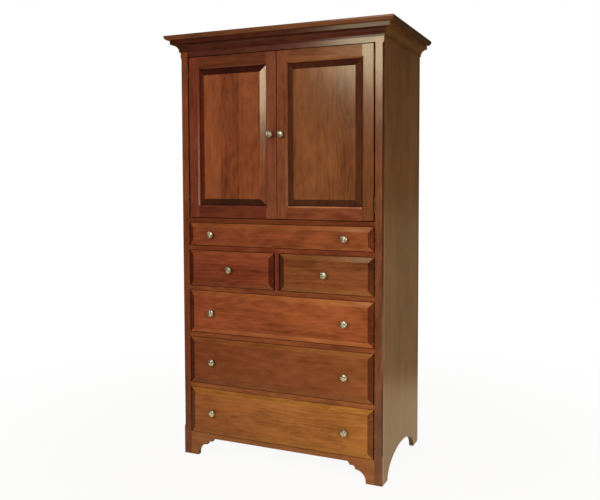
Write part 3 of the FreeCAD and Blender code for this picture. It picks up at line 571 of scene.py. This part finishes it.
# The rib's girth falls off as the root of 1 - 0.999 u^8, where u runs from -1 to 1 along it, one step each
RIB_FALL = (
    ("MULTIPLY_ADD", 2.0, -1.0),
    ("POWER", 8.0, 0.0),
    ("MULTIPLY_ADD", -0.999, 1.0),
    ("SQRT", 0.0, 0.0),
)
# Points on each arc of the outline, round the knob, along the rib and round the rib
ARC_POINTS = 14
TURN_POINTS = 64
SPINE_POINTS = 41
GIRTH_POINTS = 20
TURNING_RING = 1.0 * MM
OUTLINE_WELD = 0.005 * MM
# The creases end this many rib radii from the rib's middle
CREASE = 2.8
# The screw head's top as a share of its radius, and one bar of its cross recess
HEAD_TAPER = 0.8
HEAD_POINTS = 32
RECESS_LONG = 5.2 * MM
RECESS_WIDE = 1.0 * MM
RECESS_DEEP = 2.0 * MM
QUARTER = math.radians(90)
HALF_TURN = math.radians(180)
SHARP = math.radians(40)


def outline_stretch(tree, length, spots, inset):
    """A line through two spots or an arc through three, each (across, out), moved in by the inset."""
    ends = []
    for across, out in spots:
        aside = add(tree, "ShaderNodeMath", {0: length.get(across, across), 1: inset}, operation="SUBTRACT")
        ends.append(add(tree, "ShaderNodeCombineXYZ", {0: aside, 1: length.get(out, out)}))
    if len(ends) == 2:
        return add(tree, "GeometryNodeCurvePrimitiveLine", dict(zip(("Start", "End"), ends)))
    feeds = {"Resolution": ARC_POINTS, **dict(zip(("Start", "Middle", "End"), ends))}
    return add(tree, "GeometryNodeCurveArc", feeds, mode="POINTS")


def turned_body(tree, length):
    """The knob's outline turned about its axis, with its patina and painted shade."""
    outline = add(tree, "GeometryNodeJoinGeometry")
    for spots in KNOB_OUTLINE:
        tree.links.new(outline_stretch(tree, length, spots, TURNING_RING).outputs[0], outline.inputs[0])
    ring = add(tree, "GeometryNodeCurvePrimitiveCircle", {"Resolution": TURN_POINTS, "Radius": TURNING_RING})
    upright = add(tree, "GeometryNodeSetCurveNormal", {"Curve": ring}, mode="Z_UP")
    swept = add(tree, "GeometryNodeCurveToMesh", {"Curve": upright, "Profile Curve": outline})
    closed = add(tree, "GeometryNodeMergeByDistance", {"Geometry": swept, "Distance": OUTLINE_WELD})
    laid = add(tree, "GeometryNodeTransform", {"Geometry": closed, "Rotation": (-QUARTER, 0, 0)})
    # Painted shade darkens the knob behind the rim and grows towards the dome's edge, and patina with painted
    # shade darkens the two creases beside the rib
    position = add(tree, "GeometryNodeInputPosition")
    axes = add(tree, "ShaderNodeSeparateXYZ", {0: position})
    out = add(tree, "ShaderNodeMath", {0: axes.outputs["Y"], 1: -1.0}, operation="MULTIPLY")
    aside = add(tree, "ShaderNodeMath", {0: axes.outputs["Z"]}, operation="ABSOLUTE")
    flat = add(tree, "ShaderNodeVectorMath", {0: position, 1: (1, 0, 1)}, operation="MULTIPLY")
    reach = add(tree, "ShaderNodeVectorMath", {0: flat}, operation="LENGTH").outputs["Value"]
    crease_end = add(tree, "ShaderNodeMath", {0: length["Rib radius"], 1: CREASE}, operation="MULTIPLY")
    shares = []
    for value, start, stop, first, last in (
        (out, length["rim back"], length["rim middle"], 1.0, 0.0),
        (out, length["rim middle"], length["rim front"], 0.0, 1.0),
        (aside, length["Rib radius"], crease_end, 1.0, 0.0),
        (reach, length["dome r"], length["edge"], DOME_PATINA, RIM_PATINA_AND_SHADE),
    ):
        feeds = {"Value": value, "From Min": start, "From Max": stop, "To Min": first, "To Max": last}
        shares.append(add(tree, "ShaderNodeMapRange", feeds))
    behind, on_dome, near_rib, shade_to_edge = shares
    crease = add(tree, "ShaderNodeMath", {0: on_dome, 1: near_rib}, operation="MULTIPLY")
    crease_and_shade = add(tree, "ShaderNodeMath", {0: behind, 1: crease}, operation="MAXIMUM")
    patina_and_shade = add(tree, "ShaderNodeMath", {0: crease_and_shade, 1: shade_to_edge}, operation="MAXIMUM")
    return add(
        tree, "GeometryNodeStoreNamedAttribute", {"Geometry": laid, "Name": "patina_and_shade", "Value": patina_and_shade},
        data_type="FLOAT", domain="POINT",
    )


def raised_rib(tree, length):
    """A round bar bent over the dome, drawn in to a blunt point at both ends."""
    spine = outline_stretch(tree, length, KNOB_RIB, 0.0)
    fine = add(tree, "GeometryNodeResampleCurve", {"Curve": spine, "Count": SPINE_POINTS})
    fall = add(tree, "GeometryNodeSplineParameter").outputs["Factor"]
    for step, second, third in RIB_FALL:
        fall = add(tree, "ShaderNodeMath", {0: fall, 1: second, 2: third}, operation=step).outputs[0]
    girth = add(tree, "ShaderNodeMath", {0: fall, 1: length["Rib radius"]}, operation="MULTIPLY")
    ring = add(tree, "GeometryNodeCurvePrimitiveCircle", {"Resolution": GIRTH_POINTS, "Radius": 1.0})
    bar = add(
        tree, "GeometryNodeCurveToMesh",
        {"Curve": fine, "Profile Curve": ring, "Scale": girth, "Fill Caps": True},
    )
    return add(tree, "GeometryNodeTransform", {"Geometry": bar, "Rotation": (HALF_TURN, 0, 0)})


def screw_head(tree, length):
    """The pan head behind the board, with its cross recess."""
    crown = add(tree, "ShaderNodeMath", {0: length["Head radius"], 1: HEAD_TAPER}, operation="MULTIPLY")
    pan = add(
        tree, "GeometryNodeMeshCone",
        {
            "Vertices": HEAD_POINTS, "Side Segments": 3, "Radius Top": crown,
            "Radius Bottom": length["Head radius"], "Depth": length["Head height"],
        },
    )
    lift = add(tree, "ShaderNodeCombineXYZ", {2: length["Head height"]})
    recess = add(tree, "GeometryNodeMeshBoolean", {"Mesh 1": pan}, operation="DIFFERENCE")
    for bar in ((RECESS_LONG, RECESS_WIDE, RECESS_DEEP), (RECESS_WIDE, RECESS_LONG, RECESS_DEEP)):
        cutter = add(tree, "GeometryNodeMeshCube", {"Size": bar})
        placed = add(tree, "GeometryNodeTransform", {"Geometry": cutter, "Translation": lift})
        tree.links.new(placed.outputs[0], recess.inputs["Mesh 2"])
    seat = add(tree, "ShaderNodeCombineXYZ", {1: length["Head face"]})
    return add(
        tree, "GeometryNodeTransform",
        {"Geometry": recess, "Translation": seat, "Rotation": (-QUARTER, 0, 0)},
    )


def knob_tree():
    """Geometry that sets one ribbed knob on each point, turned by the point's own angle."""
    tree = bpy.data.node_groups.new("ribbed_knobs", "GeometryNodeTree")
    tree.interface.new_socket("Points", in_out="INPUT", socket_type="NodeSocketGeometry")
    for size in KNOB_SIZES:
        tree.interface.new_socket(size, in_out="INPUT", socket_type="NodeSocketFloat")
    tree.interface.new_socket("Knobs", in_out="OUTPUT", socket_type="NodeSocketGeometry")
    given = add(tree, "NodeGroupInput").outputs
    length = {size: given[size] for size in KNOB_SIZES}
    for name, step, first, second in KNOB_SUMS:
        feeds = {0: length[first], 1: length.get(second, second)}
        length[name] = add(tree, "ShaderNodeMath", feeds, operation=step).outputs[0]
    whole = add(tree, "GeometryNodeJoinGeometry")
    for part in (screw_head(tree, length), turned_body(tree, length), raised_rib(tree, length)):
        tree.links.new(part.outputs[0], whole.inputs[0])
    turn = add(tree, "GeometryNodeInputNamedAttribute", {"Name": "turn"}, data_type="FLOAT")
    spin = add(tree, "ShaderNodeMath", {0: turn, 1: -1.0}, operation="MULTIPLY")
    rotation = add(tree, "ShaderNodeCombineXYZ", {1: spin})
    placed = add(
        tree, "GeometryNodeInstanceOnPoints",
        {"Points": given["Points"], "Instance": whole, "Rotation": rotation},
    )
    real = add(tree, "GeometryNodeRealizeInstances", {0: placed})
    smooth = add(tree, "GeometryNodeSetShadeSmooth", {"Geometry": real})
    finished = add(tree, "GeometryNodeSetMaterial", {"Geometry": smooth, "Material": nickel})
    add(tree, "NodeGroupOutput", {0: finished})
    return tree


# How far each board's face stands before FACE_Y, in mm
DOOR_PROUD = 0.0
DRAWER_PROUD = 9.0
# Node, height of its knobs and how proud their board is in mm, and each knob's x in mm and turn in degrees
KNOBS = {
    "left_door_knob": (1475.5, DOOR_PROUD, [(-26.5, 20.0)]),
    "right_door_knob": (1475.5, DOOR_PROUD, [(26.5, 149.0)]),
    "shallow_drawer_knobs": (1033.0, DRAWER_PROUD, [(-320.0, 93.0), (320.0, 89.0)]),
    "left_half_drawer_knobs": (877.0, DRAWER_PROUD, [(-228.25, 52.0)]),
    "right_half_drawer_knobs": (877.0, DRAWER_PROUD, [(228.25, 2.0)]),
    "upper_deep_drawer_knobs": (676.0, DRAWER_PROUD, [(-320.0, 103.0), (320.0, 133.0)]),
    "middle_deep_drawer_knobs": (449.5, DRAWER_PROUD, [(-320.0, 88.0), (320.0, 167.0)]),
    "lower_deep_drawer_knobs": (214.0, DRAWER_PROUD, [(-320.0, 100.0), (320.0, 72.0)]),
}


def socket_name(tree, label):
    """The identifier by which a modifier knows an input of the tree."""
    return next(item.identifier for item in tree.interface.items_tree
                if item.name == label and item.in_out == "INPUT")


def set_knobs():
    """One piece of knobs for each knob node, with longer screws through the boards that stand proud."""
    tree = knob_tree()
    for node_name, (z, proud, knobs) in KNOBS.items():
        shape = bpy.data.meshes.new(node_name + "_points")
        shape.from_pydata([(x * MM, FACE_Y - proud * MM, z * MM) for x, turn in knobs], [], [])
        angles = shape.attributes.new("turn", "FLOAT", "POINT")
        for item, (x, turn) in zip(angles.data, knobs):
            item.value = math.radians(turn)
        holder = set_out(node_name + "_points", shape)
        setting = holder.modifiers.new("ribbed_knobs", "NODES")
        setting.node_group = tree
        sizes = {**KNOB_SIZES, "Head face": KNOB_SIZES["Head face"] + proud}
        for label, size in sizes.items():
            setting[socket_name(tree, label)] = size * MM
        piece = plain_copy(holder, node_name + "_turned")
        bpy.data.objects.remove(holder)
        piece.data.set_sharp_from_angle(angle=SHARP)
        carry(piece, node_name)


set_knobs()


# Studio: pale floor and white background to the camera, and a warm room in the reflections
WHITE = (1.0, 1.0, 1.0, 1.0)
BEIGE = "#877852"
FLOOR_HALF = 30.0
FLOOR_SQUARES = 8
# Distances from the object over which the floor's painted light, seen only in reflections, goes from cream to
# beige
PAINTED_POOL_ENDS = 1.3
BEIGE_FLOOR_BEGINS = 1.75
# Distances over which the shadow fades out, and the share of plain white in the floor at each
SHADOW_FADES = (0.6, 2.5)
PLAIN_WHITE = (0.93, 1.0)
FILL_STRENGTH = 0.32
# Slopes of view over which the walls go from beige to dark, the way to the room's front, and its dimming
WALL_RISE = (-0.15, 0.16)
ROOM_FRONT = (-0.42, -0.90, 0.0)
ROOM_DIMS = (-0.3, 0.6)
# Directions of the soft boxes at the left and overhead, and how their edges fall off
SOFT_BOXES = ((-0.90, 0.33, 0.30), (0.0, -0.10, 0.995))
SOFT_EDGE = (0.75, 0.92)


def only_seen(tree):
    """1 for rays from the camera, a mirror or glass, and 1 for rays from the camera alone."""
    ray = add(tree, "ShaderNodeLightPath")
    seen = ray.outputs["Is Camera Ray"]
    for kind in ("Is Glossy Ray", "Is Transmission Ray"):
        seen = add(tree, "ShaderNodeMath", {0: seen, 1: ray.outputs[kind]}, operation="MAXIMUM").outputs[0]
    return seen, ray.outputs["Is Camera Ray"]


def lay_floor():
    """A matt pale floor: nearly white to the camera with a soft shadow, and in reflections a painted pool of
    light, cream near the object and beige further off.
    """
    work = bmesh.new()
    bmesh.ops.create_grid(work, x_segments=FLOOR_SQUARES, y_segments=FLOOR_SQUARES, size=FLOOR_HALF)
    shape = bpy.data.meshes.new("floor")
    work.to_mesh(shape)
    work.free()
    floor = set_out("floor", shape)
    material, tree = new_material("pale_studio_floor")
    seen, direct = only_seen(tree)
    matt = add(tree, "ShaderNodeBsdfDiffuse", {"Color": ink("#dcd7cd")})
    coords = add(tree, "ShaderNodeTexCoord")
    distance = add(tree, "ShaderNodeVectorMath", {0: coords.outputs["Object"]}, operation="LENGTH")
    away = distance.outputs["Value"]
    far = add(
        tree, "ShaderNodeMapRange",
        {"Value": away, "From Min": PAINTED_POOL_ENDS, "From Max": BEIGE_FLOOR_BEGINS},
    )
    # Painted light that only reflections see: a cream pool near the object, beige further off
    warm = add(
        tree, "ShaderNodeMix", {"Factor": far, FIRST: ink("#ffedc0"), SECOND: ink(BEIGE)}, data_type="RGBA"
    )
    sheen = add(
        tree, "ShaderNodeMix", {"Factor": direct, FIRST: warm.outputs[MIXED], SECOND: WHITE}, data_type="RGBA"
    )
    white = add(tree, "ShaderNodeEmission", {"Color": sheen.outputs[MIXED], "Strength": 1.0})
    near, distant = SHADOW_FADES
    shaded, clear = PLAIN_WHITE
    glow = add(
        tree, "ShaderNodeMapRange",
        {"Value": away, "From Min": near, "From Max": distant, "To Min": shaded, "To Max": clear},
    )
    part = add(tree, "ShaderNodeMath", {0: seen, 1: glow}, operation="MULTIPLY")
    mixed = add(tree, "ShaderNodeMixShader", {0: part, 1: matt, 2: white})
    add(tree, "ShaderNodeOutputMaterial", {"Surface": mixed})
    shape.materials.append(material)


def light_room():
    """An even warm fill, white to the camera, with walls and soft boxes for what mirrors them."""
    world = bpy.data.worlds.new("studio")
    world.use_nodes = True
    tree = world.node_tree
    tree.nodes.clear()
    seen, direct = only_seen(tree)
    fill = add(tree, "ShaderNodeBackground", {"Color": ink("#f6ecdc"), "Strength": FILL_STRENGTH})
    # The room is beige behind the object, darker towards the ceiling and towards its unlit front
    view = add(tree, "ShaderNodeTexCoord").outputs["Generated"]
    height = add(tree, "ShaderNodeSeparateXYZ", {0: view}).outputs["Z"]
    low, high = WALL_RISE
    rise = add(tree, "ShaderNodeMapRange", {"Value": height, "From Min": low, "From Max": high})
    room = add(
        tree, "ShaderNodeMix", {"Factor": rise, FIRST: ink(BEIGE), SECOND: ink("#58503a")}, data_type="RGBA"
    )
    # The front and then the two pale soft boxes, which curved metal mirrors and the flat boards don't
    parts = [(ROOM_FRONT, ROOM_DIMS, "#463c30")]
    parts += [(toward, SOFT_EDGE, "#fff8ea") for toward in SOFT_BOXES]
    for toward, (begins, full), code in parts:
        facing = add(tree, "ShaderNodeVectorMath", {0: view, 1: toward}, operation="DOT_PRODUCT")
        share = add(
            tree, "ShaderNodeMapRange",
            {"Value": facing.outputs["Value"], "From Min": begins, "From Max": full},
        )
        room = add(
            tree, "ShaderNodeMix", {"Factor": share, FIRST: room.outputs[MIXED], SECOND: ink(code)},
            data_type="RGBA",
        )
    shown = add(
        tree, "ShaderNodeMix", {"Factor": direct, FIRST: room.outputs[MIXED], SECOND: WHITE}, data_type="RGBA"
    )
    white = add(tree, "ShaderNodeBackground", {"Color": shown.outputs[MIXED], "Strength": 1.0})
    mixed = add(tree, "ShaderNodeMixShader", {0: seen, 1: fill, 2: white})
    add(tree, "ShaderNodeOutputWorld", {"Surface": mixed})
    bpy.context.scene.world = world


def hang_lamp(name, place, target, size, power, code, mirrored):
    """A soft lamp that isn't seen itself; one that isn't mirrored either gives shade without sheen."""
    lamp = bpy.data.lights.new(name, "AREA")
    lamp.shape = "RECTANGLE"
    lamp.size, lamp.size_y = size
    lamp.energy = power
    lamp.color = ink(code)[:3]
    hung = set_out(name, lamp)
    aim = Vector(target) - Vector(place)
    hung.matrix_world = Matrix.Translation(place) @ aim.to_track_quat("-Z", "Y").to_matrix().to_4x4()
    hung.visible_camera = False
    hung.visible_glossy = mirrored


# Each lamp's place, target, width and height in metres, power in watts, colour, and whether it is mirrored
LAMPS = {
    "key": ((-0.1, -3.0, 1.9), (0.1, -0.26, 1.0), (0.35, 0.35), 13.0, "#ffefc8", False),
    "front_fill": ((0.12, -3.15, 2.12), (0.05, -0.2, 1.0), (0.75, 0.65), 26.0, "#ffefc8", True),
    "side_fill": ((1.9, -1.6, 1.2), (0.45, -0.1, 0.9), (0.7, 0.9), 12.5, "#fff0d0", True),
    "side_near": ((1.45, -1.15, 0.75), (0.48, -0.1, 0.75), (0.5, 0.7), 5.5, "#fff0c8", True),
    "side_glow": ((1.7, -0.9, 0.3), (0.5, -0.1, 0.5), (0.5, 0.5), 4.0, "#ffe9b0", True),
    "side_sheen": ((1.06, 1.5, 0.55), (0.48, -0.2, 0.8), (0.3, 1.0), 0.30, "#f6ffd8", True),
    "window": ((-0.5, -3.0, 2.36), (0.3, -0.26, 1.7), (0.5, 0.52), 10.4, "#fff6cc", True),
    "glint": ((-2.5, -1.3, 2.7), (0.0, -0.28, 1.0), (0.3, 0.3), 9.0, "#fff4e0", True),
    "back_fill": ((-1.2, 3.0, 2.0), (0.0, 0.3, 1.0), (0.8, 0.8), 26.0, "#fff0d8", False),
}
lay_floor()
light_room()
for name, lamp_row in LAMPS.items():
    hang_lamp(name, *lamp_row)


# Camera where the photograph was taken from: place in metres, yaw, pitch and roll in degrees, and the lens
CAMERA_PLACE = (1.3446, -3.0792, 1.2855)
CAMERA_ANGLES = (23.6564, 3.2015, -0.1546)
SENSOR_MM = 36.0
FOCAL_MM = 43.07
SHIFT_UP = -0.0525


def set_camera():
    """The camera, looking into the scene along +Y, turned left by the yaw and down by the pitch."""
    yaw, pitch, roll = (math.radians(angle) for angle in CAMERA_ANGLES)
    forward = Vector((-math.sin(yaw) * math.cos(pitch), math.cos(yaw) * math.cos(pitch), -math.sin(pitch)))
    level = Vector((math.cos(yaw), math.sin(yaw), 0.0))
    upright = level.cross(forward)
    right = math.cos(roll) * level + math.sin(roll) * upright
    up = math.cos(roll) * upright - math.sin(roll) * level
    lens = bpy.data.cameras.new("camera")
    lens.sensor_fit = "HORIZONTAL"
    lens.sensor_width = SENSOR_MM
    lens.lens = FOCAL_MM
    lens.shift_y = SHIFT_UP
    camera = set_out("camera", lens)
    turn = Matrix((right, up, -forward)).transposed()
    camera.matrix_world = Matrix.Translation(CAMERA_PLACE) @ turn.to_4x4()
    bpy.context.scene.camera = camera


set_camera()
bpy.context.scene.view_settings.view_transform = "Standard"
